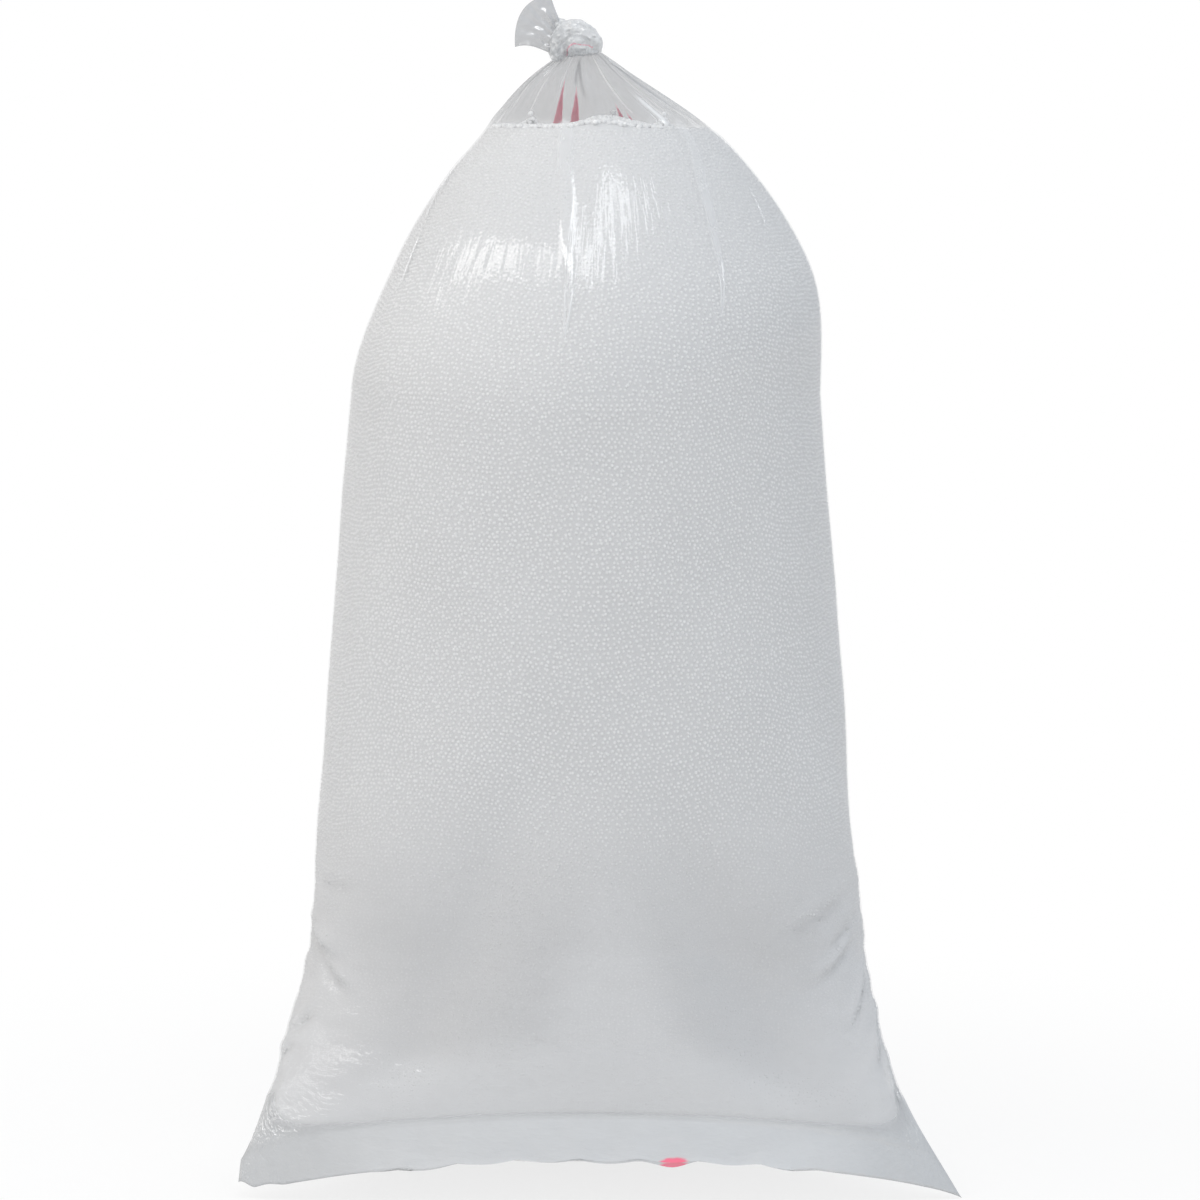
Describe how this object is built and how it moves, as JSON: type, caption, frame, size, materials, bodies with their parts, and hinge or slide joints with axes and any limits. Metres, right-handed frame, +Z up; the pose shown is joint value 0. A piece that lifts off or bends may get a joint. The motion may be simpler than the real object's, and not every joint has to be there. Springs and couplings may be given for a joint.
{
  "type": "bag of polystyrene beads",
  "caption": "Tall clear film bag filled with loose expanded-polystyrene beads, gathered at the top and tied off in a knot, standing on its pressed-out base.",
  "frame": {"origin": "On the floor, below the middle of the bag's overall box.", "axes": "+Z up through the knot; -Y is the front, where the sealed fin shows; +X is to the right seen from the front."},
  "size_m": [0.628, 0.4138, 1.038],
  "materials": {
    "clear_film": "thin clear polyethylene film, glossy, slightly hazy, with fine wrinkles",
    "expanded_polystyrene": "white expanded foam beads, matte"
  },
  "bodies": {
    "root": {"bag_film": "clear_film", "bead_fill": "expanded_polystyrene", "loose_bead_1": "expanded_polystyrene", "loose_bead_2": "expanded_polystyrene", "loose_bead_3": "expanded_polystyrene"}
  },
  "joints": []
}
